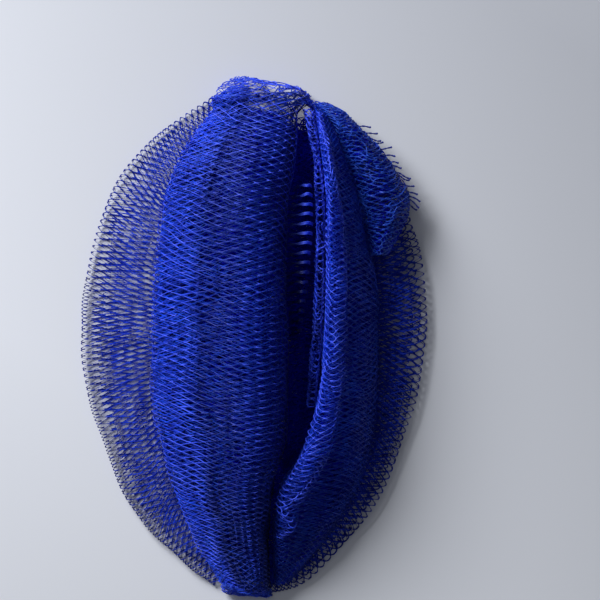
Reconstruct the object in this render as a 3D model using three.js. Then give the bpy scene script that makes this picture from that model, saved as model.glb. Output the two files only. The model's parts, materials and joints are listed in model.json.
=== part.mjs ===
import * as THREE from "three";

// A length of fine knitted net, folded on itself into a flat oval bundle that lies on a table.
// Each fold or layer of the net that a hand could peel off the bundle is a solid of its own.
// Millimetres. X runs to the right, Y towards the top end of the bundle and Z up from the table.
// The origin is on the table, under the middle of the bundle.

// Driving dimensions
const layerGap = 0.6; // air between neighbouring layers
const baseThickness = 3; // the flattened layers that the bundle rests on
const leftRollHeight = 46; // crown of the wide roll on the left
const rightRollHeight = 42; // ridge of the narrow roll on the right
const leftRollLayers = 4;
const outerFoldHeight = 13; // the open outer folds, where they meet the rolls
const rimHeight = 4; // the open outer folds, at the rim of the bundle
const creviceFloorHeight = 9; // the net at the bottom of the gap between the rolls
const ridgeShare = 0.42; // the part of the right roll's width that its standing pleat takes
const looseEndHeight = 24; // the loose end, along the line it lifts about
const fringeHeight = 14; // the cut yarns, above the table
const cutShare = 0.62; // the part of the loose end's outer edge that is cut
const tailCount = 12; // cut yarns
const tailLength = 6;
const tailWidth = 0.9;
const tailThickness = 0.9;
const selvedgeWidth = 2.2; // the strip of net that holds the cut yarns

const lerp = THREE.MathUtils.lerp;

// A long edge in plan, from the top end to the bottom end, through a few points
function edge(...points) {
  return new THREE.SplineCurve(points.map(([x, y]) => new THREE.Vector2(x, y)));
}

// A smooth value from 0 to 1 of the way, through evenly spaced values
function profile(...values) {
  const curve = new THREE.SplineCurve(values.map((v, i) => new THREE.Vector2(i, v)));
  return (t) => curve.getPoint(t).y;
}

// The same for a height that changes only along the bundle
function profileAlong(...heights) {
  const along = profile(...heights);
  return (s, t) => along(t);
}

// The long edges that the layers share, with their points at matching places along the bundle
const leftRim = edge(
  [-24, 118], [-60, 92], [-76, 60], [-84.5, 30], [-86.5, 0], [-84, -30], [-72, -60], [-60, -90], [-24, -121],
);
const leftRollOutside = edge(
  [-18, 116], [-36, 92], [-45, 62], [-49, 30], [-50, 0], [-50, -30], [-43.5, -60], [-34, -90], [-18, -120],
);
const leftRollInside = edge(
  [23, 113], [22.5, 90], [18, 62], [17.5, 30], [18.5, 0], [18.5, -30], [16, -60], [8.8, -80], [8.5, -124],
);
const rightRollInside = edge(
  [31, 112], [34, 90], [36.5, 62], [36, 30], [35, 0], [32.5, -30], [23.5, -58], [11, -80], [10.8, -124],
);
const rightRollOutside = edge(
  [37, 112], [46, 90], [54, 62], [61, 30], [62, 0], [61, -30], [57, -60], [44, -90], [17, -123],
);
const rightRim = edge(
  [44, 111.5], [67, 92], [78, 62], [85.5, 30], [86.5, 0], [81.5, -30], [71.5, -60], [58, -90], [24, -124],
);

// Heights of the rolls: how they rise and fall across their width (s) and along the bundle (t)
const level = (height) => () => height;
const leftRollAcross = profile(0.32, 0.68, 0.9, 1, 0.97, 0.8);
const leftRollAlong = profile(0.4, 0.82, 0.95, 1, 1, 1, 0.95, 0.8, 0.38);
const rightRollAcross = profile(0.8, 1, 0.86, 0.62, 0.36);
const rightRollAlong = profile(0.5, 0.9, 1, 1, 0.98, 0.95, 0.9, 0.74, 0.42);
const outerFoldAlong = profile(0.6, 0.85, 1, 1, 1, 1, 1, 0.85, 0.6);

const rollFloor = level(baseThickness + layerGap);
const leftRollRoof = (s, t) => leftRollHeight * leftRollAcross(s) * leftRollAlong(t);
const rightRollRoof = (s, t) => rightRollHeight * rightRollAcross(s) * rightRollAlong(t);
const leftOuterRoof = (s, t) => lerp(rimHeight, outerFoldHeight, s) * outerFoldAlong(t);
const rightOuterRoof = (s, t) => lerp(outerFoldHeight, rimHeight, s) * outerFoldAlong(t);

// The heights of one layer out of several that share the room between a floor and a roof
function share(floor, roof, index, count) {
  const heightAt = (part, s, t) => lerp(floor(s, t), roof(s, t), part / count);
  return {
    floor: (s, t) => heightAt(index, s, t) + (index > 0 ? layerGap / 2 : 0),
    roof: (s, t) => heightAt(index + 1, s, t) - (index < count - 1 ? layerGap / 2 : 0),
  };
}

// A closed slab of net between two long edges, from one place along them to another.
// Its two broad faces are grids of points; `from` and `to` may leave out part of the edges' length,
// and `inner` and `outer` part of the width between them.
function layerGeometry({
  left, right, from = 0, to = 1, inner = 0, outer = 1, floor, roof, across = 5, along = 12,
}) {
  const positions = [];
  for (const height of [floor, roof]) {
    for (let row = 0; row <= along; row++) {
      const t = lerp(from, to, row / along);
      const start = left.getPoint(t);
      const end = right.getPoint(t);
      const inset = layerGap / 2 / start.distanceTo(end);
      for (let column = 0; column <= across; column++) {
        const s = lerp(inner + inset, outer - inset, column / across);
        positions.push(lerp(start.x, end.x, s), lerp(start.y, end.y, s), height(s, t));
      }
    }
  }

  const columns = across + 1;
  const faceSize = columns * (along + 1);
  const at = (row, column) => row * columns + column;
  const index = [];
  for (let row = 0; row < along; row++) {
    for (let column = 0; column < across; column++) {
      const [a, b] = [at(row, column), at(row, column + 1)];
      const [c, d] = [at(row + 1, column + 1), at(row + 1, column)];
      index.push(a, c, d, a, b, c);
      index.push(...[a, d, c, a, c, b].map((corner) => corner + faceSize));
    }
  }

  // The wall runs round the slab counter-clockwise, seen from above
  const rim = [];
  for (let row = 0; row < along; row++) rim.push(at(row, 0));
  for (let column = 0; column < across; column++) rim.push(at(along, column));
  for (let row = along; row > 0; row--) rim.push(at(row, across));
  for (let column = across; column > 0; column--) rim.push(at(0, column));
  rim.forEach((corner, i) => {
    const next = rim[(i + 1) % rim.length];
    index.push(corner, next, next + faceSize, corner, next + faceSize, corner + faceSize);
  });

  const geometry = new THREE.BufferGeometry();
  geometry.setAttribute("position", new THREE.Float32BufferAttribute(positions, 3));
  geometry.setIndex(index);
  geometry.computeVertexNormals();
  return geometry;
}

// Finishes of the net: single open layers look paler than the dense rolls
const netFinishes = {
  openNet: { color: 0x4656a8, roughness: 0.55, metalness: 0 },
  denseNet: { color: 0x141f86, roughness: 0.5, metalness: 0 },
  shadedNet: { color: 0x0a0f4a, roughness: 0.6, metalness: 0 },
  cutYarn: { color: 0x22349a, roughness: 0.5, metalness: 0 },
};

function addPiece(group, name, geometry, finish) {
  const piece = new THREE.Mesh(geometry, new THREE.MeshStandardMaterial(netFinishes[finish]));
  piece.name = name;
  group.add(piece);
  return piece;
}

function addLayer(group, name, finish, shape) {
  return addPiece(group, name, layerGeometry(shape), finish);
}

// The flattened net under both rolls, with the flat face that the bundle rests on
function addBase(group) {
  addLayer(group, "base_ply", "denseNet", {
    left: leftRollOutside, right: rightRollOutside, floor: level(0), roof: level(baseThickness),
  });
}

// The open outer folds: two layers of net that join in the folded rim of the bundle
function addOuterFolds(group) {
  const sides = [
    { side: "left", left: leftRim, right: leftRollOutside, roof: leftOuterRoof },
    { side: "right", left: rightRollOutside, right: rightRim, roof: rightOuterRoof },
  ];
  for (const { side, left, right, roof } of sides) {
    ["lower", "upper"].forEach((place, i) => {
      const heights = share(level(0), roof, i, 2);
      addLayer(group, `${side}_outer_fold_${place}`, "openNet", { left, right, ...heights });
    });
  }
}

// The wide roll on the left: layers laid over each other
function addLeftRoll(group) {
  for (let i = 0; i < leftRollLayers; i++) {
    addLayer(group, `left_roll_ply_${i + 1}`, "denseNet", {
      left: leftRollOutside, right: leftRollInside, ...share(rollFloor, leftRollRoof, i, leftRollLayers),
    });
  }
}

// The narrow roll on the right: two layers underneath, then a standing pleat beside a broad fold
function addRightRoll(group) {
  const sides = { left: rightRollInside, right: rightRollOutside };
  for (let i = 0; i < 4; i++) {
    const heights = share(rollFloor, rightRollRoof, i, 4);
    if (i < 2) {
      addLayer(group, `right_roll_ply_${i + 1}`, "denseNet", { ...sides, ...heights });
    } else {
      const ridge = { ...sides, ...heights, outer: ridgeShare, across: 3 };
      const fold = { ...sides, ...heights, inner: ridgeShare, across: 4 };
      addLayer(group, `ridge_pleat_ply_${i - 1}`, "denseNet", ridge);
      addLayer(group, `right_fold_ply_${i - 1}`, "denseNet", fold);
    }
  }
}

// What lies in the gap between the rolls
function addCrevice(group) {
  addLayer(group, "crevice_floor", "shadedNet", {
    left: leftRollInside, right: rightRollInside, from: 0.02, to: 0.8,
    floor: rollFloor, roof: level(creviceFloorHeight), across: 2,
  });
  const standing = { floor: level(creviceFloorHeight + layerGap), across: 2, along: 8 };
  addLayer(group, "ladder_pleat", "denseNet", {
    left: edge([24, 84], [19.5, 60], [18.8, 30], [19.8, 0]),
    right: edge([27.5, 84], [28.5, 60], [26.5, 30], [23, 0]),
    roof: profileAlong(22, 33, 30, 16), ...standing,
  });
  addLayer(group, "crevice_ribbon", "shadedNet", {
    left: edge([29.5, 92], [31, 60], [30.5, 30], [29, 0], [26, -36]),
    right: edge([32.5, 92], [35.5, 60], [35, 30], [33.8, 0], [30.5, -36]),
    roof: profileAlong(22, 32, 30, 24, 15), ...standing,
  });
}

// The two humps at the top end and the tip at the bottom end, where the net turns over
function addEnds(group) {
  const hood = { floor: level(2), across: 4, along: 5 };
  addLayer(group, "top_hood_left", "openNet", {
    left: edge([-8, 129.4], [-16, 125], [-20, 118.6]),
    right: edge([4, 128.6], [8, 122], [8.5, 116.2]),
    roof: profileAlong(7, 13, 17), ...hood,
  });
  addLayer(group, "top_hood_right", "openNet", {
    left: edge([13, 125.6], [10.5, 121], [9.5, 115.8]),
    right: edge([20, 125], [27, 121], [29.5, 115]),
    roof: profileAlong(7, 13, 16), ...hood,
  });
  addLayer(group, "bottom_tip", "openNet", {
    left: edge([-16, -121.6], [-13, -125], [-8, -127.6]),
    right: edge([8.2, -125.2], [8.6, -127.2], [8.8, -129]),
    floor: level(0), roof: profileAlong(15, 11, 7), across: 4, along: 4,
  });
}

// The loose end: two layers that lift together about the line where the end leaves the bundle
const looseEnd = {
  left: edge([46.5, 104], [53, 86], [58.5, 64], [62.5, 39]),
  right: edge([50.5, 105.5], [64.5, 91], [78, 67], [66, 39.5]),
};

function addLooseEnd(group) {
  const floor = (s) => lerp(14.5, 13, s);
  const roof = (s) => lerp(looseEndHeight, 17.5, s);
  ["lower", "upper"].forEach((place, i) => {
    const heights = share(floor, roof, i, 2);
    addLayer(group, `loose_end_${place}`, "openNet", { ...looseEnd, ...heights, across: 4, along: 8 });
  });
}

// The cut yarns stand out of a narrow strip of net along the cut edge, like the teeth of a comb
function addFringe(group) {
  const cutEdge = looseEnd.right;
  const besideEdge = (t, distance) => {
    const along = cutEdge.getTangent(t);
    return cutEdge.getPoint(t).add(new THREE.Vector2(-along.y, along.x).multiplyScalar(distance));
  };
  const pitch = cutShare / tailCount;
  const comb = [];
  for (let i = 0; i <= tailCount; i++) comb.push(besideEdge(i * pitch, layerGap));
  comb.push(besideEdge(cutShare, selvedgeWidth));
  for (let i = tailCount - 1; i >= 0; i--) {
    const t = (i + 0.5) * pitch;
    const halfTail = tailWidth / 2 / cutEdge.getLength();
    const tail = new THREE.Vector2(1, -0.2).setLength(tailLength * (i % 2 ? 1 : 0.8));
    const lowerRoot = besideEdge(t + halfTail, selvedgeWidth);
    const upperRoot = besideEdge(t - halfTail, selvedgeWidth);
    comb.push(lowerRoot, lowerRoot.clone().add(tail), upperRoot.clone().add(tail), upperRoot);
  }
  comb.push(besideEdge(0, selvedgeWidth));
  const geometry = new THREE.ExtrudeGeometry(new THREE.Shape(comb.reverse()), {
    depth: tailThickness, bevelEnabled: false, curveSegments: 1,
  });
  const fringe = addPiece(group, "cut_edge_fringe", geometry, "cutYarn");
  fringe.position.z = fringeHeight;
}

const foldedNet = new THREE.Group();
addBase(foldedNet);
addOuterFolds(foldedNet);
addLeftRoll(foldedNet);
addRightRoll(foldedNet);
addCrevice(foldedNet);
addEnds(foldedNet);
addLooseEnd(foldedNet);
addFringe(foldedNet);

export default foldedNet;
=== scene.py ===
import json
import math

import bmesh
import bpy
import numpy as np
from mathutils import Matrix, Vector, kdtree


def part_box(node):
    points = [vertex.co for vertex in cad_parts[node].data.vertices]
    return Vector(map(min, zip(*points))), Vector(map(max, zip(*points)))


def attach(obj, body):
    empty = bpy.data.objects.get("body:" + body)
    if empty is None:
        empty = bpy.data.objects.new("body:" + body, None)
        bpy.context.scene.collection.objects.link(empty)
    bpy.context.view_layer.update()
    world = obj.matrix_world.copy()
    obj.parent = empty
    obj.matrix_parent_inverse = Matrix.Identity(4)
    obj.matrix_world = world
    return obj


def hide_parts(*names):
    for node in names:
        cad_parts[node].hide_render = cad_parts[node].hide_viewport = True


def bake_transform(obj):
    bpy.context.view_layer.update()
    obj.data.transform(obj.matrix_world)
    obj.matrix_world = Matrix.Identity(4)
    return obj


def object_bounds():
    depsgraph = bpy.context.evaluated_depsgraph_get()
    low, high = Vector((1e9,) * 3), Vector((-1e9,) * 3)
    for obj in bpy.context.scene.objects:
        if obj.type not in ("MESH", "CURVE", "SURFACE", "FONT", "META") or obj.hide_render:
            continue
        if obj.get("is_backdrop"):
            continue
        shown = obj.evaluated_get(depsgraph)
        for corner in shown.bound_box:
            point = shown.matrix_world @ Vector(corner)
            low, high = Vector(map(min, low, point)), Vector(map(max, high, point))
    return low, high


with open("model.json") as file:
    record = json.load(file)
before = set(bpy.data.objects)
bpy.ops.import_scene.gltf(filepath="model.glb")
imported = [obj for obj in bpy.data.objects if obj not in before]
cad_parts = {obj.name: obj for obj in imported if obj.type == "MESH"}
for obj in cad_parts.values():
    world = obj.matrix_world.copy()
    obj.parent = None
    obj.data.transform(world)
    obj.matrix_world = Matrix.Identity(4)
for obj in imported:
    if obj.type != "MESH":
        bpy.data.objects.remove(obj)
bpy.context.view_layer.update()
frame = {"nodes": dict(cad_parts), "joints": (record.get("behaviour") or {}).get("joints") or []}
mm = 0.001

# the knitted net itself: every layer of the bundle is cut from it
net = {
    "diamondLong": 8.75 * mm,  # tip to tip, across the bundle
    "diamondShort": 3.25 * mm,  # tip to tip, along the bundle
    "yarn": 0.5 * mm,
    "knotReach": 1.6,  # in yarns: how far a leg's corner may stand from the middle of its knot
}

# camera, light and table
camera = {"height": 0.9, "lens": 108, "aim": (0.023, 0.0185)}

bpy.ops.object.camera_add(location=(*camera["aim"], camera["height"]), rotation=(0, 0, 0))
bpy.context.object.data.lens = camera["lens"]
bpy.context.scene.camera = bpy.context.object
bpy.context.scene.view_settings.view_transform = "Standard"


def linearColour(hexCode):
    # sRGB hex to the linear values that shaders take
    parts = [int(hexCode[i:i + 2], 16) / 255 for i in (0, 2, 4)]
    return [c / 12.92 if c <= 0.04045 else ((c + 0.055) / 1.055) ** 2.4 for c in parts] + [1.0]


def addNode(material, kind, settings, links=()):
    # one node with its settings, fed by (socket, node, output) links
    node = material.node_tree.nodes.new(kind)
    for key, value in settings.items():
        if key in node.inputs:
            node.inputs[key].default_value = value
        else:
            setattr(node, key, value)
    for socket, source, output in links:
        material.node_tree.links.new(source.outputs[output], node.inputs[socket])
    return node


def newMaterial(name):
    material = bpy.data.materials.new(name)
    material.use_nodes = True
    material.node_tree.nodes.clear()
    return material


def finishMaterial(material, shader, result="BSDF"):
    output = addNode(material, "ShaderNodeOutputMaterial", {}, [("Surface", shader, result)])
    output.is_active_output = True
    return material


def tableMaterial():
    # matt pale laminate, smooth, with painted light: pale towards the lower left and darker towards the
    # upper right, a painted falloff of the lamp's light
    material = newMaterial("matt grey laminate")
    place = addNode(material, "ShaderNodeTexCoord", {})
    # painted light: the colour follows a slant across the table
    paintedLightSlant = addNode(
        material, "ShaderNodeVectorMath", {"operation": "DOT_PRODUCT"},
        [("Vector", place, "Object")],
    )
    paintedLightSlant.inputs[1].default_value = (1.0, 1.4, 0)
    spread = addNode(
        material, "ShaderNodeMapRange", {"From Min": -0.12, "From Max": 0.36},
        [("Value", paintedLightSlant, "Value")],
    )
    tint = addNode(material, "ShaderNodeValToRGB", {}, [("Fac", spread, "Result")])
    tint.color_ramp.elements[0].color = linearColour("dfe2e8")
    tint.color_ramp.elements[1].color = linearColour("b9bcc3")
    shader = addNode(material, "ShaderNodeBsdfPrincipled", {"Roughness": 0.8, "Specular IOR Level": 0.2},
                     [("Base Color", tint, "Color")])
    return finishMaterial(material, shader)


# the top is a hair below the net, so that the two never meet
bpy.ops.mesh.primitive_plane_add(size=4, location=(0, 0, -0.0002))
table = bpy.context.object
table.name = "table"
table.data.materials.append(tableMaterial())
table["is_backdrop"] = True

lampsAimAt = Vector((0.02, 0, 0))
lamps = [
    {"name": "window", "place": (-0.78, 0.93, 0.75), "size": 0.7, "power": 30.5, "tint": "fbfcff"},
    {"name": "fill", "place": (-0.1, 0.2, 1.5), "size": 1.0, "power": 1.4, "tint": "f4f6ff"},
]
for lamp in lamps:
    bpy.ops.object.light_add(type="AREA", location=lamp["place"])
    light = bpy.context.object
    light.name = lamp["name"]
    light.data.size = lamp["size"]
    light.data.energy = lamp["power"]
    light.data.color = linearColour(lamp["tint"])[:3]
    beam = lampsAimAt - Vector(lamp["place"])
    light.rotation_euler = beam.to_track_quat("-Z", "Y").to_euler()

room = {"tint": "e4e8f2", "strength": 0.12}
world = bpy.data.worlds.new("soft room")
world.use_nodes = True
air = world.node_tree.nodes["Background"]
air.inputs["Color"].default_value = linearColour(room["tint"])
air.inputs["Strength"].default_value = room["strength"]
bpy.context.scene.world = world
print("camera, light and table are set")


# what all yarns share: soft patches of dye, the twist, and the glints along the filaments
dye = {"scale": 140, "detail": 3, "darkAt": 0.3, "lightAt": 0.7}
# filaments are 0.03 mm, too fine to show, so the twist is drawn 0.6 mm apart
twist = {"pitch": 0.6 * mm, "detail": 2, "depth": 0.1 * mm, "strength": 0.35}
silk = {"specularTint": "b4bcff", "sheenTint": "8f9cff", "sheenShare": 0.25, "through": "5064ff"}


def yarnMaterial(name, dark, light, roughness, gloss=0.5, glow=0.0):
    # dyed multifilament polyamide: painted shade makes it deep blue in the folds, silky glints along the
    # filaments, and where a single layer is backed by light, some of that light comes through the yarn
    material = newMaterial(name)
    place = addNode(material, "ShaderNodeTexCoord", {})
    patches = addNode(
        material, "ShaderNodeTexNoise", {"Scale": dye["scale"], "Detail": dye["detail"]},
        [("Vector", place, "Object")],
    )
    tint = addNode(material, "ShaderNodeValToRGB", {}, [("Fac", patches, "Fac")])
    tint.color_ramp.elements[0].position = dye["darkAt"]
    tint.color_ramp.elements[0].color = linearColour(dark)
    tint.color_ramp.elements[1].position = dye["lightAt"]
    tint.color_ramp.elements[1].color = linearColour(light)
    # painted shade: the shade attribute darkens the dye where the yarn lies in shade
    shade = addNode(material, "ShaderNodeAttribute", {"attribute_name": "shade"})
    dyedAndShaded = addNode(
        material, "ShaderNodeVectorMath", {"operation": "SCALE"},
        [("Vector", tint, "Color"), ("Scale", shade, "Fac")],
    )
    strands = addNode(
        material, "ShaderNodeTexNoise", {"Scale": 1 / twist["pitch"], "Detail": twist["detail"]},
        [("Vector", place, "Object")],
    )
    relief = addNode(
        material, "ShaderNodeBump", {"Strength": twist["strength"], "Distance": twist["depth"]},
        [("Height", strands, "Fac")],
    )
    shader = addNode(
        material, "ShaderNodeBsdfPrincipled",
        {
            "Roughness": roughness,
            "IOR": 1.53,
            "Specular IOR Level": gloss,
            "Specular Tint": linearColour(silk["specularTint"]),
            "Sheen Weight": silk["sheenShare"] * gloss,
            "Sheen Roughness": 0.4,
            "Sheen Tint": linearColour(silk["sheenTint"]),
        },
        [("Base Color", dyedAndShaded, "Vector"), ("Normal", relief, "Normal")],
    )
    if not glow:
        return finishMaterial(material, shader)
    through = addNode(
        material, "ShaderNodeBsdfTranslucent", {"Color": linearColour(silk["through"])},
    )
    mixed = addNode(
        material, "ShaderNodeMixShader", {"Fac": glow}, [(1, shader, "BSDF"), (2, through, "BSDF")],
    )
    return finishMaterial(material, mixed, "Shader")


# one blue yarn in lit and shaded copies: the lit crown and open-fold copies are painted light, the copies
# for the rim, the shaded side, the folds and deep in the folds are painted shade
yarns = {
    "crown": yarnMaterial("blue polyamide yarn, lit crown", "1c40d4", "4a62fa", 0.45, 0.5),
    "open": yarnMaterial("blue polyamide yarn", "3058cc", "5c84f8", 0.45, 0.35, 0.5),
    "rim": yarnMaterial("blue polyamide yarn, painted rim shade", "1832b0", "2c4ee0", 0.6, 0.15, 0.3),
    "shaded": yarnMaterial("blue polyamide yarn, shaded side", "1c38c0", "2c50f0", 0.45, 0.3, 0.35),
    "flap": yarnMaterial("blue polyamide yarn, loose end", "1a40ac", "2c5cd8", 0.42, 0.5, 0.15),
    "foldShade": yarnMaterial("blue polyamide yarn, painted fold shade", "0e2cbc", "1c50ec", 0.42, 0.4),
    "deep": yarnMaterial("blue polyamide yarn, painted deep fold shade", "0812b8", "0e1edc", 0.6, 0.1),
    "cut": yarnMaterial("frayed blue polyamide yarn", "0e1c70", "182c90", 0.5),
}


# the shape of the bundle, read from the frame
def sliceNode(name, y):
    # a CAD node cut across at one y: its low side, high side and height there
    mesh = frame["nodes"][name].data
    points = np.array([v.co for v in mesh.vertices])
    corners = points[np.array([p.vertices[:] for p in mesh.polygons])]
    starts, ends = corners.reshape(-1, 3), np.roll(corners, -1, 1).reshape(-1, 3)
    crossing = (starts[:, 1] - y) * (ends[:, 1] - y) < 0
    a, b = starts[crossing], ends[crossing]
    cut = a + (b - a) * ((y - a[:, 1]) / (b[:, 1] - a[:, 1]))[:, None]
    return cut[:, 0].min(), cut[:, 0].max(), cut[:, 2].max()


def splineWeights(q, count):
    # Catmull-Rom over evenly spaced points, with held ends
    x = np.clip(q, 0, 1) * (count - 1)
    i = np.clip(x.astype(int), 0, count - 2)
    f = x - i
    near = np.clip(np.stack([i - 1, i, i + 1, i + 2], 1), 0, count - 1)
    weights = np.stack([
        -0.5 * f + f ** 2 - 0.5 * f ** 3,
        1 - 2.5 * f ** 2 + 1.5 * f ** 3,
        0.5 * f + 2 * f ** 2 - 1.5 * f ** 3,
        -0.5 * f ** 2 + 0.5 * f ** 3,
    ], 1)
    return near, weights


def loft(sections, s, t):
    # point of a surface through sections (along, across, 3): s across, t along
    rows, rowWeights = splineWeights(t, sections.shape[0])
    columns, columnWeights = splineWeights(s, sections.shape[1])
    corners = sections[rows[:, :, None], columns[:, None, :]]
    return np.einsum("na,nb,nabc->nc", rowWeights, columnWeights, corners)


# how finely a surface is measured, across and along
samples = {"across": 97, "along": 129}


def evenAcross(sections):
    # makes s run evenly along the cloth, so that diamonds keep their width round a bend
    fine = np.linspace(0, 1, samples["across"])
    steps = np.zeros(samples["across"] - 1)
    for t in np.linspace(0.05, 0.95, 7):
        line = loft(sections, fine, np.full(samples["across"], t))
        steps += np.linalg.norm(np.diff(line, axis=0), axis=1)
    travelled = np.concatenate([[0], np.cumsum(steps)]) / 7
    return travelled[-1], lambda s: np.interp(s, travelled / travelled[-1], fine)


def evenAlong(sections):
    # the same for t, so that rows keep their pitch where sections stand close together
    fine = np.linspace(0, 1, samples["along"])
    steps = np.zeros(samples["along"] - 1)
    for s in (0.3, 0.5, 0.7):
        line = loft(sections, np.full(samples["along"], s), fine)
        steps += np.linalg.norm(np.diff(line, axis=0), axis=1)
    travelled = np.concatenate([[0], np.cumsum(steps)]) / 3
    return travelled[-1], lambda t: np.interp(t, travelled / travelled[-1], fine)


def ripple(u, v, seed):
    # a smooth uneven wave between about -1 and 1, the same each run
    waves, finest, turn = 7, 9.0, 6.28
    draw = np.random.RandomState(seed)
    total = np.zeros_like(u)
    for _ in range(waves):
        fu = draw.uniform(-finest, finest)
        fv = draw.uniform(-finest, finest)
        total += np.sin(fu * u + fv * v + draw.uniform(0, turn))
    return total / math.sqrt(waves)


def smoothStep(x, low, high):
    f = np.clip((x - low) / (high - low), 0, 1)
    return f * f * (3 - 2 * f)


def setShade(piece, values):
    # painted shade: how much of the dye's brightness shows, from 0 deep in a fold, where shade falls, to 1
    # in the open
    old = piece.data.attributes.get("shade")
    if old:
        piece.data.attributes.remove(old)
    shade = piece.data.attributes.new("shade", "FLOAT", "POINT")
    shade.data.foreach_set("value", np.clip(values, 0, 1))


# knitting a layer
def knitLattice(columns, rows, bends):
    # a unit square of diamonds: poke a grid, drop its own edges, and give each leg a few bends
    bpy.ops.object.select_all(action="DESELECT")
    bpy.ops.mesh.primitive_grid_add(
        x_subdivisions=columns, y_subdivisions=rows, size=1, location=(0.5, 0.5, 0),
    )
    layer = bpy.context.object
    bpy.ops.object.transform_apply(location=True, rotation=False, scale=False)
    bpy.ops.object.mode_set(mode="EDIT")
    bpy.ops.mesh.poke()
    bpy.ops.mesh.select_mode(type="EDGE")
    bpy.ops.mesh.select_all(action="DESELECT")
    bpy.ops.object.mode_set(mode="OBJECT")
    mesh = layer.data
    points = np.array([v.co for v in mesh.vertices])
    ends = np.array([e.vertices[:] for e in mesh.edges])
    across = np.abs(points[ends[:, 0]] - points[ends[:, 1]])
    middle = (points[ends[:, 0]] + points[ends[:, 1]]) / 2
    hair = 1e-5
    square = across[:, :2].min(1) < hair
    rim = np.abs(middle[:, :2] - 0.5).max(1) > 0.5 - hair
    mesh.edges.foreach_set("select", square & ~rim)
    bpy.ops.object.mode_set(mode="EDIT")
    bpy.ops.mesh.dissolve_edges(use_verts=False)
    # the half diamonds along the border go too, so a cut edge zigzags
    bpy.ops.mesh.select_all(action="DESELECT")
    bpy.ops.mesh.select_mode(type="FACE")
    bpy.ops.mesh.select_face_by_sides(number=3, type="EQUAL", extend=False)
    bpy.ops.mesh.delete(type="FACE")
    bpy.ops.object.mode_set(mode="OBJECT")
    if bends:
        made = bmesh.new()
        made.from_mesh(mesh)
        bmesh.ops.bisect_edges(made, edges=made.edges, cuts=bends)
        made.to_mesh(mesh)
        made.free()
    return layer


def knit(settings, sections, layerNumber):
    # one layer of net laid on a surface, with the unevenness of a knitted fabric
    seed = settings["seed"] + 17 * layerNumber
    width, acrossEven = evenAcross(sections)
    length, alongEven = evenAlong(sections)
    columns = max(2, round(width / (net["diamondLong"] * settings.get("stretch", 1))))
    rows = max(2, round(length / (net["diamondShort"] * settings.get("spread", 1))))
    layer = knitLattice(columns, rows, settings.get("bends", 0))
    mesh = layer.data
    flat = np.array([v.co for v in mesh.vertices])
    u, v = flat[:, 0], 1 - flat[:, 1]
    # the pull of neighbouring stitches shifts knots by part of a diamond
    warp = settings.get("warp", 0.3)
    s = u + warp / columns * ripple(2 * u, 5 * v, seed)
    if "turnsAt" in settings:
        # legs, not knots, turn round the rim, so it shows a row of round loops
        fine = np.linspace(0, 1, samples["across"])
        rim = np.interp(settings["turnsAt"], acrossEven(fine), fine)
        s = s + (np.floor(2 * rim * columns) / 2 + 0.25) / columns - rim
    t = v + warp * 1.6 / rows * ripple(1.5 * u, 4 * v, seed + 1)
    t = t + settings.get("slope", 0) / rows * np.maximum(u - 0.4, 0) * np.sin(math.pi * v)
    # rows can stand open at the top of a piece and close together at its foot
    t = t + settings.get("crowd", 0) * (0.9 + 0.2 * u) * np.sin(math.pi * v) / math.pi
    s, t = acrossEven(np.clip(s, 0, 1)), alongEven(np.clip(t, 0, 1))
    place = loft(sections, s, t)
    step = 0.004
    sMore, sLess = np.clip(s + step, 0, 1), np.clip(s - step, 0, 1)
    tMore, tLess = np.clip(t + step, 0, 1), np.clip(t - step, 0, 1)
    acrossStep = loft(sections, sMore, t) - loft(sections, sLess, t)
    alongStep = loft(sections, s, tMore) - loft(sections, s, tLess)
    normal = np.cross(acrossStep, alongStep)
    normal /= np.maximum(np.linalg.norm(normal, axis=1), 1e-12)[:, None]
    lift = settings.get("wrinkle", 0.5 * mm) * ripple(4 * u, 9 * v, seed + 2)
    for pleat in settings.get("pleats", ()):
        across = np.exp(-(((u - pleat["at"]) / pleat["width"]) ** 2))
        along = 1 - smoothStep(v, *pleat["ends"])
        lift = lift + pleat["height"] * across * smoothStep(v, *pleat["starts"]) * along
    place = place + normal * lift[:, None]
    place[:, 2] = np.maximum(place[:, 2], net["yarn"] * settings.get("yarnShare", 1) / 2)
    mesh.vertices.foreach_set("co", place.ravel())
    mesh.update()
    # painted shade: each piece darkens its yarn by profiles across (u) and along (v), where it lies in
    # shade
    paintedShade = settings.get("paintedShade", {"u": [(0, 0)], "v": [(0, 0)]})
    setShade(layer, 1.0 - np.interp(u, *zip(*paintedShade["u"])) * np.interp(v, *zip(*paintedShade["v"])))
    return layer, width, length


def tieKnots(points, shades, radius):
    # a small faceted knot at each crossing: one is modelled, and its mesh is copied to every crossing
    bpy.ops.object.select_all(action="DESELECT")
    bpy.ops.mesh.primitive_ico_sphere_add(subdivisions=1, radius=radius, location=(0, 0, 0))
    knots = bpy.context.object
    corners = np.array([v.co for v in knots.data.vertices])
    faces = np.array([p.vertices[:] for p in knots.data.polygons])
    places = (points[:, None, :] + corners[None, :, :]).reshape(-1, 3)
    firstCorners = np.arange(len(points)) * len(corners)
    rows = (firstCorners[:, None, None] + faces[None, :, :]).reshape(-1, 3)
    knots.data.clear_geometry()
    knots.data.from_pydata(places.tolist(), [], rows.tolist())
    knots.data.update()
    setShade(knots, np.repeat(shades, len(corners)))
    return knots


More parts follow.
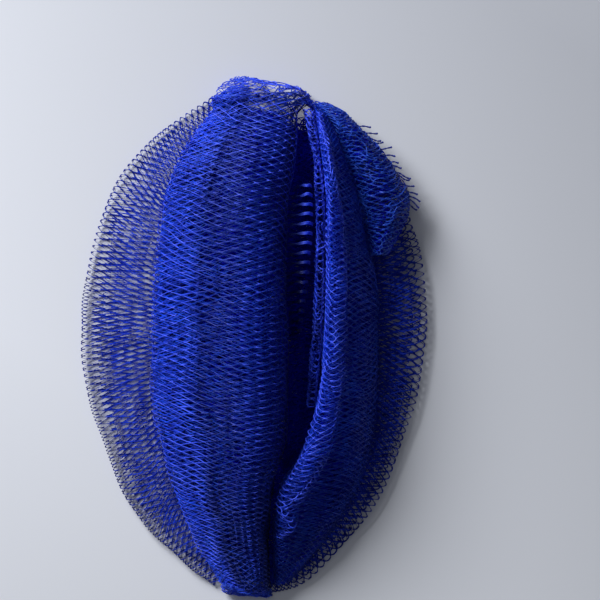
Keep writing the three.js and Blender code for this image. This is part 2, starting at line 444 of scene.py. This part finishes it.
def netPiece(settings, layers):
    # joins the layers of one piece and gives the net its yarn
    made = [knit(settings, sections, i) for i, sections in enumerate(layers)]
    bpy.ops.object.select_all(action="DESELECT")
    for layer, _, _ in made:
        layer.select_set(True)
    piece = made[0][0]
    bpy.context.view_layer.objects.active = piece
    if len(made) > 1:
        bpy.ops.object.join()
    piece.name = piece.data.name = settings["name"]
    tube = piece.modifiers.new("yarn", "WIREFRAME")
    tube.thickness = net["yarn"] * settings.get("yarnShare", 1)
    tube.use_even_offset = True
    tube.use_boundary = True
    points = np.array([v.co for v in piece.data.vertices])
    shades = np.zeros(len(points))
    piece.data.attributes["shade"].data.foreach_get("value", shades)
    ends = np.array([e.vertices[:] for e in piece.data.edges])
    knots = kdtree.KDTree(len(piece.data.vertices))
    for i, vertex in enumerate(piece.data.vertices):
        knots.insert(vertex.co, i)
    knots.balance()
    bpy.ops.object.modifier_apply(modifier=tube.name)
    nearest = []
    farthest = net["knotReach"] * net["yarn"]
    for vertex in piece.data.vertices:
        # where a diamond is nearly shut, its inner corner would shoot past the knot
        knot, i, distance = knots.find(vertex.co)
        nearest.append(i)
        if distance > farthest:
            vertex.co = knot + (vertex.co - knot) * (farthest / distance)
    setShade(piece, shades[nearest])
    if settings.get("knots"):
        crossings = np.bincount(ends.ravel(), minlength=len(points)) >= 3
        tied = tieKnots(points[crossings], shades[crossings], settings["knots"])
        bpy.ops.object.select_all(action="DESELECT")
        tied.select_set(True)
        piece.select_set(True)
        bpy.context.view_layer.objects.active = piece
        bpy.ops.object.join()
    bpy.ops.object.shade_smooth()
    piece.data.materials.clear()
    piece.data.materials.append(yarns[settings["yarnKind"]])
    return piece


# sections of each part of the bundle
def pathSections(stations, path):
    # the same path, in shares of width and height, at every station (y, x low, x high, height)
    return np.array([
        [(low + (high - low) * a, y, height * h) for a, h in path]
        for y, low, high, height in stations
    ])


def stationsOf(sideNode, topNode, count=15, inset=1.5 * mm):
    # places along a node, with its sides there and the height of the node on top
    low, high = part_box(sideNode)
    places = np.linspace(high.y - inset, low.y + inset, count)
    return [(y, *sliceNode(sideNode, y)[:2], sliceNode(topNode, y)[2]) for y in places]


def shrink(path, share, centre):
    # an inner layer's path lies inside the outer one's
    x, z = centre
    return [(x + (a - x) * share, z + (h - z) * share) for a, h in path]


def rollLayers(settings, piece):
    # the nested layers of one piece of a roll
    stations = stationsOf(settings["sideNode"], settings["topNode"], inset=settings["inset"])
    if "sinks" in settings:
        # towards its end the roll sinks flat
        fromY, toY, least = settings["sinks"]
        stations = [
            (y, low, high, height * (least + (1 - least) * float(smoothStep(y, toY, fromY))))
            for y, low, high, height in stations
        ]
    if piece.get("overEnds"):
        # the roll runs on over the humps and the tip, an inner layer only part of the way
        skipped, kept = piece["overEnds"]
        stations = settings["overTop"]()[skipped:] + stations + settings["underTip"]()[:kept]
    layers = [
        pathSections(stations, shrink(settings["path"], share, settings["centre"]))
        for share in piece["shares"]
    ]
    for i, share in enumerate(piece.get("flankShares", ())):
        path = settings["path"][:settings["flank"] - i % 2]
        layers.append(pathSections(stations, shrink(path, share, settings["centre"])))
    return layers


def addNet(piece, layers):
    # a piece of net on the fixed body, in place of its CAD nodes
    made = netPiece(piece, layers)
    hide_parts(*piece["nodes"])
    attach(made, "bundle")
    return made


# where the wide roll's net runs on over both humps at its upper end
humps = {
    "rises": [(128.8 * mm, 0.4), (126.5 * mm, 0.8), (123.5 * mm, 1), (120.0 * mm, 1), (116.5 * mm, 1)],
    "side": -22 * mm, "from": 116.5 * mm, "narrows": 1.25, "cover": 3.5 * mm,
}
# and under the tip at its lower end
tip = {
    "rises": [(-122.5 * mm, 1), (-125.0 * mm, 0.9), (-127.3 * mm, 0.65), (-128.7 * mm, 0.35)],
    "from": -122 * mm, "widest": -128.0 * mm, "cover": 2.5 * mm,
}


def overTop():
    stations = []
    for y, rise in humps["rises"]:
        _, high, height = sliceNode("top_hood_left", y)
        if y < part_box("top_hood_right")[1].y - 0.5 * mm:
            high = sliceNode("top_hood_right", y)[1]
        side = humps["side"] + (y - humps["from"]) * humps["narrows"]
        stations.append((y, side, high, (height + humps["cover"]) * rise))
    return stations


def underTip():
    stations = []
    for y, rise in tip["rises"]:
        low, _, height = sliceNode("bottom_tip", y)
        high = sliceNode("bottom_tip", tip["widest"])[1]
        stations.append((y, min(low, low + (y - tip["from"])), high, (height + tip["cover"]) * rise))
    return stations


# the wide roll: its net turns up round the outside, over the crown and down into the gap
leftRoll = {
    "sideNode": "left_roll_ply_1", "topNode": "left_roll_ply_4", "centre": (0.6, 0.35),
    "overTop": overTop, "underTip": underTip, "flank": 7, "inset": 4.5 * mm,
    "path": [
        (0.30, 0.05), (0.10, 0.10), (0.00, 0.24), (0.00, 0.36), (0.07, 0.46), (0.19, 0.60), (0.35, 0.78),
        (0.53, 0.93), (0.70, 1.00), (0.86, 0.93), (0.97, 0.66), (0.98, 0.28),
    ],
    # the pieces' profiles paint shade: on the crown's far side towards the gap, lower down the roll, and on
    # the inner layers
    "pieces": [
        {"name": "left_roll_net_4", "nodes": ["left_roll_ply_4"], "shares": [1.0], "bends": 2, "seed": 11,
         "overEnds": (0, 4), "yarnKind": "crown", "slope": 4, "spread": 1.08, "crowd": 0.2, "warp": 0.15,
         "knots": 0.3 * mm,
         "paintedShade": {"u": [(0.43, 0), (0.5, 0.7), (0.6, 0.6), (0.68, 0.1), (0.82, 0.25), (0.92, 0.85)],
                    "v": [(0.05, 0), (0.35, 1), (0.8, 1.15)]},
         "pleats": [{"at": 0.52 + 0.05 * i, "width": 0.012, "height": (2.2 - 0.1 * i) * mm,
                     "starts": (0.50 + 0.02 * i, 0.66), "ends": (0.88, 0.97)} for i in range(8)]},
        {"name": "left_roll_net_3", "nodes": ["left_roll_ply_3"], "shares": [], "seed": 12,
         "overEnds": (2, 2), "flankShares": [0.985, 0.965, 0.94, 0.92], "bends": 0, "warp": 0.15,
         "paintedShade": {"u": [(0.75, 0), (1, 0.4)], "v": [(0, 1)]}},
        {"name": "left_roll_net_2", "nodes": ["left_roll_ply_2"], "shares": [0.96, 0.9, 0.83], "seed": 13,
         "overEnds": (3, 2),
         "paintedShade": {"u": [(0.4, 0.6), (0.8, 0.55), (0.9, 0.9)],
                    "v": [(0.25, 1), (0.4, 0.6), (0.75, 0.9)]}},
        {"name": "left_roll_net_1", "nodes": ["left_roll_ply_1"], "shares": [0.7, 0.55, 0.4], "seed": 14,
         "yarnKind": "deep", "yarnShare": 1.3},
    ],
}
# the narrow roll: it stands up beside the gap, turns over in a ridge and falls away to the right
rightRoll = {
    "sideNode": "right_roll_ply_1", "topNode": "ridge_pleat_ply_2", "centre": (0.35, 0.3),
    "inset": 1.5 * mm,
    "sinks": (-96 * mm, -120 * mm, 0.45),
    "overTop": lambda: [
        (117.5 * mm, 25 * mm, 31 * mm, 12 * mm), (114.5 * mm, 28 * mm, 36 * mm, 17 * mm),
    ],
    "underTip": lambda: [],
    "path": [
        (0.10, 0.08), (0.00, 0.30), (-0.02, 0.62), (0.05, 0.90), (0.18, 1.00), (0.32, 0.94), (0.45, 0.83),
        (0.60, 0.76), (0.78, 0.62), (0.94, 0.42), (1.02, 0.24), (0.95, 0.10), (0.60, 0.06),
    ],
    # the pieces' profiles paint shade, most towards the roll's lower end
    "pieces": [
        {"name": "right_fold_net_2", "nodes": ["right_fold_ply_2"], "shares": [1.0], "bends": 2, "seed": 21,
         "warp": 0.22, "overEnds": (0, 0), "knots": 0.32 * mm,
         "paintedShade": {"u": [(0, 1)], "v": [(0.1, 0.15), (0.6, 0.35), (0.83, 0.3), (0.89, 0.6)]}},
        {"name": "right_fold_net_1", "nodes": ["right_fold_ply_1"], "shares": [0.965, 0.92], "seed": 22,
         "paintedShade": {"u": [(0, 1)], "v": [(0.7, 0.1), (0.85, 0.3)]}},
        {"name": "right_roll_net_2", "nodes": ["right_roll_ply_2"], "shares": [0.86, 0.78, 0.7], "seed": 23,
         "yarnKind": "deep", "yarnShare": 1.15},
        {"name": "right_roll_net_1", "nodes": ["right_roll_ply_1"], "shares": [0.6, 0.45, 0.3], "seed": 24,
         "yarnKind": "deep", "yarnShare": 1.3},
    ],
}
for roll in (leftRoll, rightRoll):
    for piece in roll["pieces"]:
        addNet({"yarnKind": "foldShade", **piece}, rollLayers(roll, piece))
print("rolls are knitted")


# the open outer folds: the net comes out from under a roll, turns round the rim and goes back over
outerFolds = {
    "sections": 33,
    "least": 17 * mm,  # at its ends a fold is never shallower than this
    "most": 60 * mm,
    "overrun": 10 * mm,  # the rim runs on under the ends of the bundle
    # on the right the rim also runs round the foot
    "tail": [(26 * mm, -125 * mm), (17 * mm, -127.5 * mm), (4 * mm, -128 * mm)],
    "middle": 0.25,  # inner layers close in on this share of the height
    # painted shade round the turn of the rim
    "paintedShade": {"u": [(0.34, 0), (0.42, 0.45), (0.56, 0.45), (0.68, 0)], "v": [(0, 1)]},
    "path": [
        (1.35, 0.06), (0.90, 0.03), (0.45, 0.03), (0.20, 0.03), (0.09, 0.04), (0.02, 0.12), (0.00, 0.26),
        (0.03, 0.42), (0.11, 0.50), (0.26, 0.54), (0.50, 0.62), (0.75, 0.70), (0.95, 0.62),
        (1.10, 0.4), (1.35, 0.2),
    ],
    "pieces": [
        {"name": "left_outer_net_lower", "nodes": ["left_outer_fold_lower"], "side": "left",
         "rims": [0.0], "seed": 31, "yarnShare": 1.32, "knots": 0.38 * mm, "yarnKind": "rim"},
        {"name": "left_outer_net_upper", "nodes": ["left_outer_fold_upper"], "side": "left",
         "rims": [0.27], "seed": 32, "yarnShare": 0.72,
         # painted shade round this fold's own rim
         "paintedShade": {"u": [(0.36, 0), (0.44, 0.3), (0.54, 0.3), (0.62, 0)], "v": [(0, 1)]}},
        {"name": "right_outer_net_lower", "nodes": ["right_outer_fold_lower"], "side": "right",
         "rims": [0.0, 0.14], "seed": 33, "yarnShare": 1.35, "knots": 0.4 * mm, "spread": 1.2,
         "yarnKind": "rim"},
        {"name": "right_outer_net_upper", "nodes": ["right_outer_fold_upper"], "side": "right",
         "rims": [0.3, 0.5, 0.7], "seed": 34, "spread": 1.1, "yarnKind": "shaded",
         "paintedShade": {"u": [(0, 0)], "v": [(0, 0)]}},
    ],
}


def alongCurve(points, t):
    # places at even shares of a curve's length
    travelled = np.concatenate([[0], np.cumsum(np.linalg.norm(np.diff(points, axis=0), axis=1))])
    travelled /= travelled[-1]
    return np.stack([np.interp(t, travelled, points[:, i]) for i in range(points.shape[1])], 1)


def smoothed(values, passes):
    # each value is drawn towards its neighbours, again at each pass
    for _ in range(passes):
        padded = np.concatenate([values[:1], values, values[-1:]])
        values = (padded[:-2] + 2 * padded[1:-1] + padded[2:]) / 4
    return values


def outerFoldLayers(settings, piece):
    # sections square to the rim, from under the roll round the rim and back over it
    node = piece["side"] + "_outer_fold_"
    low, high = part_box(node + "lower")
    places = np.linspace(high.y - 0.5 * mm, low.y + 0.5 * mm, 81)
    cuts = np.array([
        (*sliceNode(node + "lower", y)[:2], sliceNode(node + "upper", y)[2]) for y in places
    ])
    rimColumn, rollColumn = (0, 1) if piece["side"] == "left" else (1, 0)
    inwards = 1 if piece["side"] == "left" else -1
    line = np.stack([cuts[:, rimColumn], places], 1)
    leaves, enters = line[0] - line[4], line[-1] - line[-5]
    first = line[0] + leaves / np.linalg.norm(leaves) * settings["overrun"]
    last = line[-1] + enters / np.linalg.norm(enters) * settings["overrun"]
    tail = [last] if piece["side"] == "left" else settings["tail"]
    shares = np.linspace(0, 1, settings["sections"])
    rim = smoothed(alongCurve(np.vstack([first, line, *tail]), shares), 2)
    along = smoothed(np.gradient(rim, axis=0), 4)
    along /= np.linalg.norm(along, axis=1)[:, None]
    square = np.stack([-along[:, 1], along[:, 0]], 1) * inwards
    reach = []
    for point, direction in zip(rim, square):
        # how far the roll's edge is from the rim, square to the rim
        for distance in np.linspace(0, settings["most"], 61):
            x, y = point + direction * distance
            if (x - np.interp(-y, -places, cuts[:, rollColumn])) * inwards > 0:
                break
        reach.append(max(distance, settings["least"]))
    reach = smoothed(np.array(reach), 3)
    height = smoothed(np.interp(-rim[:, 1], -places, cuts[:, 2]), 2)
    layers = []
    for start in piece["rims"]:
        # an inner fold lies inside the outer one, between its two layers
        innermost, middle = settings["path"][0][0], settings["middle"]
        path = [
            (start + (innermost - start) * a / innermost, middle + (h - middle) * (1 - 0.5 * start))
            for a, h in settings["path"]
        ]
        layers.append(np.stack([
            np.column_stack([rim + square * (reach * a)[:, None], height * h]) for a, h in path
        ], 1))
    return layers


for piece in outerFolds["pieces"]:
    addNet({"yarnKind": "open", "yarnShare": 1.05, "bends": 3, "warp": 0.15, "wrinkle": 0.35 * mm,
            "paintedShade": outerFolds["paintedShade"], "turnsAt": 6 / 14, **piece},
           outerFoldLayers(outerFolds, piece))
print("outer folds are knitted")


# narrow pleats and strips between the rolls, and the humps and tip, each following its own CAD solid
domePath = [(0.1, 0.05), (-0.02, 0.5), (0.18, 0.9), (0.5, 1.05), (0.82, 0.9), (1.02, 0.5), (0.9, 0.05)]
dome = {"centre": (0.5, 0.2), "path": domePath, "yarnKind": "open", "bends": 2, "stretch": 0.8,
        "spread": 0.8, "count": 7, "inset": 0.3 * mm}
strips = [
    {"name": "ridge_pleat_net_2", "nodes": ["ridge_pleat_ply_2"], "shares": [1.0], "seed": 41, "bends": 2,
     "centre": (0.5, 0.5), "yarnShare": 1.2, "yarnKind": "crown", "knots": 0.38 * mm, "endsAt": -79 * mm,
     "under": [(-84 * mm, 12.5 * mm, 21 * mm, 31 * mm), (-89.5 * mm, 16 * mm, 23 * mm, 29 * mm),
               (-93.5 * mm, 15 * mm, 21 * mm, 27 * mm), (-97.5 * mm, 10.5 * mm, 17 * mm, 23 * mm)],
     "path": [(0.05, 0.35), (-0.04, 0.70), (0.06, 0.94), (0.32, 1.04), (0.62, 1.02),
              (0.86, 0.90), (0.98, 0.70)]},
    {"name": "ridge_pleat_net_1", "nodes": ["ridge_pleat_ply_1"], "shares": [0.93], "seed": 42,
     "centre": (0.5, 0.2), "topNode": "ridge_pleat_ply_2", "endsAt": -94 * mm,
     "path": [(0.05, 0.30), (-0.04, 0.66), (0.08, 0.92), (0.34, 1.02), (0.64, 1.00),
              (0.88, 0.86), (0.98, 0.60)]},
    {"name": "crevice_ribbon_net", "nodes": ["crevice_ribbon"], "shares": [1.0, 0.8], "seed": 43,
     "centre": (0.5, 0.4), "bends": 2, "yarnKind": "crown", "yarnShare": 1.2, "knots": 0.36 * mm,
     "over": [(113 * mm, 24.5 * mm, 29 * mm, 17 * mm), (103 * mm, 27 * mm, 31 * mm, 21 * mm)],
     "path": [(0.10, 0.30), (-0.05, 0.72), (0.25, 0.98), (0.75, 0.98), (1.05, 0.72), (0.90, 0.30)]},
    {"name": "crevice_floor_net", "nodes": ["crevice_floor"], "shares": [1.0, 0.85, 0.7, 0.55], "seed": 45,
     "centre": (0.5, 0.0), "yarnKind": "deep", "yarnShare": 1.3,
     # painted shade: the net on the gap's floor is darkened further
     "paintedShade": {"u": [(0, 0.45)], "v": [(0, 1)]},
     "path": [(-0.3, 1.5), (0.15, 1.0), (0.5, 0.85), (0.85, 1.0), (1.3, 1.5)]},
    {"name": "base_net", "nodes": ["base_ply"], "shares": [1.0, 0.85, 0.7, 0.55, 0.4, 0.2], "seed": 47,
     "centre": (0.5, 0.0), "yarnKind": "deep", "yarnShare": 1.3,
     "startsAt": 116 * mm, "restsOn": ("left_outer_net_lower",),
     "path": [(0.03, 0.8), (0.25, 0.8), (0.5, 0.8), (0.75, 0.8), (0.97, 0.8)], "keepWidth": True},
    {"name": "top_hood_net_left", "nodes": ["top_hood_left"], "shares": [1.0], "seed": 51, **dome},
    {"name": "top_hood_net_right", "nodes": ["top_hood_right"], "shares": [1.0], "seed": 52, **dome},
    {"name": "bottom_tip_net", "nodes": ["bottom_tip"], "shares": [1.0, 0.85], "seed": 53, **dome},
]
for piece in strips:
    node = piece["nodes"][0]
    stations = stationsOf(
        node, piece.get("topNode", node), piece.get("count", 11), piece.get("inset", 1.5 * mm),
    )
    ends, starts = piece.get("endsAt", -1), piece.get("startsAt", 1)
    stations = [station for station in stations if ends < station[0] < starts]
    stations = piece.get("over", []) + stations + piece.get("under", [])
    layers = []
    for share in piece["shares"]:
        path = shrink(piece["path"], share, piece["centre"])
        if piece.get("keepWidth"):
            path = [(a, h * share) for a, h in piece["path"]]
        layers.append(pathSections(stations, path))
    addNet({"yarnKind": "foldShade", **piece}, layers)
print("pleats and strips are knitted")


# the ladder: a pleat pulled so tight that only its legs show, as thick bright rungs
ladder = {
    "node": "ladder_pleat", "startsAt": 74 * mm, "pitch": 4.7 * mm, "tilt": 0.6 * mm,
    "yarn": 0.6 * mm, "strands": 3, "swell": (0.6, 0.6, 0.7, 1.0, 1.5, 1.1),
    # painted shade: the rungs darken lower down
    "fades": (30 * mm, 48 * mm),  # the rungs are darkest below the first y and bright above the second
}


def yarnCurve(points, thickness, swell=()):
    # one length of yarn, as a tube through points, thicker or thinner at each by its share of swell
    bpy.ops.object.select_all(action="DESELECT")
    bpy.ops.curve.primitive_nurbs_path_add(location=(0, 0, 0))
    curve = bpy.context.object
    spline = curve.data.splines[0]
    spline.points.add(max(0, len(points) - len(spline.points)))
    for place, point in zip(spline.points, points):
        place.co = (*point, 1)
    for place, share in zip(spline.points, swell):
        place.radius = share
    spline.order_u = 3
    spline.resolution_u = 3
    curve.data.bevel_depth = thickness / 2
    curve.data.bevel_resolution = 1
    curve.data.use_fill_caps = True
    bpy.ops.object.convert(target="MESH")
    return bpy.context.object


def joinAll(parts, name, yarnKind):
    # many small meshes made one piece, in one yarn
    bpy.ops.object.select_all(action="DESELECT")
    for part in parts:
        part.select_set(True)
    bpy.context.view_layer.objects.active = parts[0]
    bpy.ops.object.join()
    parts[0].name = parts[0].data.name = name
    bpy.ops.object.shade_smooth()
    parts[0].data.materials.clear()
    parts[0].data.materials.append(yarns[yarnKind])
    return parts[0]


ladderDraw = np.random.RandomState(44)
low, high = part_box(ladder["node"])
rungs = []
for y in np.arange(ladder["startsAt"], low.y + 3 * mm, -ladder["pitch"]):
    near, far, height = sliceNode(ladder["node"], y)
    width = far - near
    tilt = ladderDraw.uniform(-1, 1) * ladder["tilt"]
    for strand in range(ladder["strands"]):
        # each rung fans out from a knot on the left and comes together at the fold on the right
        spread = (strand - 1) * 0.55 * mm
        places = [
            (near - 0.45 * width, y - (0.2 + 1.0 * strand) * mm, height * 0.66),
            (near + 0.05 * width, y + (0.5 - 0.5 * strand) * mm, height * 0.84),
            (near + 0.40 * width, y + spread + tilt, height * 0.92),
            (near + 0.75 * width, y + 0.3 * mm + 0.8 * spread - tilt, height * 0.98),
            (near + 1.00 * width, y + 0.5 * mm + 0.6 * spread, height * 0.92),
            (far + 0.14 * width, y + 0.2 * mm + spread, height * 0.66),
        ]
        rungs.append(yarnCurve(places, ladder["yarn"], ladder["swell"]))
ladderPiece = joinAll(rungs, "ladder_pleat_rungs", "crown")
points = np.array([v.co for v in ladderPiece.data.vertices])
# painted shade: the rungs darken towards the gap on the left and lower down
inwards = np.clip((points[:, 0] - low.x) / (high.x - low.x), 0, 1)
paintedShadeAcross = 0.12 + 0.88 * smoothStep(inwards, 0.3, 0.9)
paintedShadeDown = 0.3 + 0.7 * smoothStep(points[:, 1], *ladder["fades"])
setShade(ladderPiece, paintedShadeAcross * paintedShadeDown)
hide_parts(ladder["node"])
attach(ladderPiece, "bundle")
print("ladder is laid", len(ladderPiece.data.polygons) * 2, "triangles")


# the loose end: it rises out of the valley beside the narrow roll and slopes down to its cut edge
looseEnd = {
    "height": 24 * mm,
    "path": [(-0.20, 0.30), (0.0, 0.50), (0.16, 0.74), (0.34, 0.94), (0.54, 1.00), (0.76, 0.88),
             (1.0, 0.58)],
    "shoulder": [(115.5 * mm, 29 * mm, 37 * mm, 0.60), (111.5 * mm, 32 * mm, 45 * mm, 0.80)],
    "pieces": [
        {"name": "loose_end_net_upper", "nodes": ["loose_end_upper"], "drops": [0.0, 1.0 * mm], "seed": 61,
         "yarnKind": "flap", "yarnShare": 1.1, "stretch": 0.8, "spread": 0.85},
        {"name": "loose_end_net_lower", "nodes": ["loose_end_lower"], "seed": 62,
         "drops": [2.2 * mm, 3.2 * mm, 4.2 * mm], "yarnKind": "deep", "yarnShare": 1.2},
    ],
}
lift = next(j for j in frame["joints"] if j["name"] == "loose_end_lift")
hinge, hingeAxis = Vector(lift["pos_m"]), Vector(lift["axis"])
acrossHinge = hingeAxis.cross(Vector((0, 0, 1))).normalized()  # from the bundle towards the loose end
if acrossHinge.x < 0:
    acrossHinge = -acrossHinge

for piece in looseEnd["pieces"]:
    stations = [(y, low, high, looseEnd["height"] * share) for y, low, high, share in looseEnd["shoulder"]]
    for y, _, cutEdge, _ in stationsOf("loose_end_upper", "loose_end_upper", 13):
        valley = sliceNode("right_fold_ply_2", y)[1] - 2 * mm
        stations.append((y, valley, cutEdge, looseEnd["height"]))
    layers = []
    for drop in piece["drops"]:
        sections = pathSections(stations, looseEnd["path"])
        sections[:, :, 2] -= drop
        layers.append(sections)
    made = netPiece({"bends": 2, "wrinkle": 0.4 * mm, **piece}, layers)
    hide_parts(*piece["nodes"])
    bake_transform(made)
print("loose end is knitted")


# the cut edge: knotted stubs of yarn, two strands each, that stick out past the last whole diamonds
fringe = {
    "count": 15, "inset": 1.5 * mm, "lowest": 66 * mm, "length": (3.6 * mm, 6.2 * mm),
    "thickness": 0.46 * mm, "knot": 0.55 * mm, "twist": 0.33 * mm, "sway": 0.35 * mm,
    "droop": (0.5, 1.6),
}
fringeDraw = np.random.RandomState(71)
low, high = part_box("loose_end_upper")
stubs = []
for i in range(fringe["count"]):
    share = (i + fringeDraw.uniform(-0.3, 0.3)) / (fringe["count"] - 1)
    y = high.y - fringe["inset"] - (high.y - fringe["lowest"]) * np.clip(share, 0, 1)
    near, far, height = sliceNode("loose_end_upper", y)
    heading = math.radians(2 - 32 * share + fringeDraw.uniform(-11, 11))
    length = fringeDraw.uniform(*fringe["length"])
    droop = fringeDraw.uniform(*fringe["droop"]) * mm
    for strand in (-1, 1):
        places = []
        for step in np.linspace(-0.45, 1, 7):
            sway = strand * fringe["twist"] * math.cos(2.4 * math.pi * step)
            sway += fringe["sway"] * math.sin(4 * step + i)
            places.append((
                far + length * step * math.cos(heading) - sway * math.sin(heading),
                y + length * step * math.sin(heading) + sway * math.cos(heading),
                height * 0.54 - droop * max(step, 0) ** 2,
            ))
        stubs.append(yarnCurve(places, fringe["thickness"]))
    bpy.ops.object.select_all(action="DESELECT")
    bpy.ops.mesh.primitive_ico_sphere_add(subdivisions=2, radius=fringe["knot"], location=places[-1])
    bpy.ops.object.transform_apply(location=True, rotation=False, scale=False)
    stubs.append(bpy.context.object)
fringePiece = joinAll(stubs, "cut_edge_stubs", "cut")
setShade(fringePiece, np.ones(len(fringePiece.data.vertices)))
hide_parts("cut_edge_fringe")
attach(fringePiece, "loose_end")
print("cut edge is laid", len(fringePiece.data.polygons) * 2, "triangles")

print("all pieces are in place")

low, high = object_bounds()
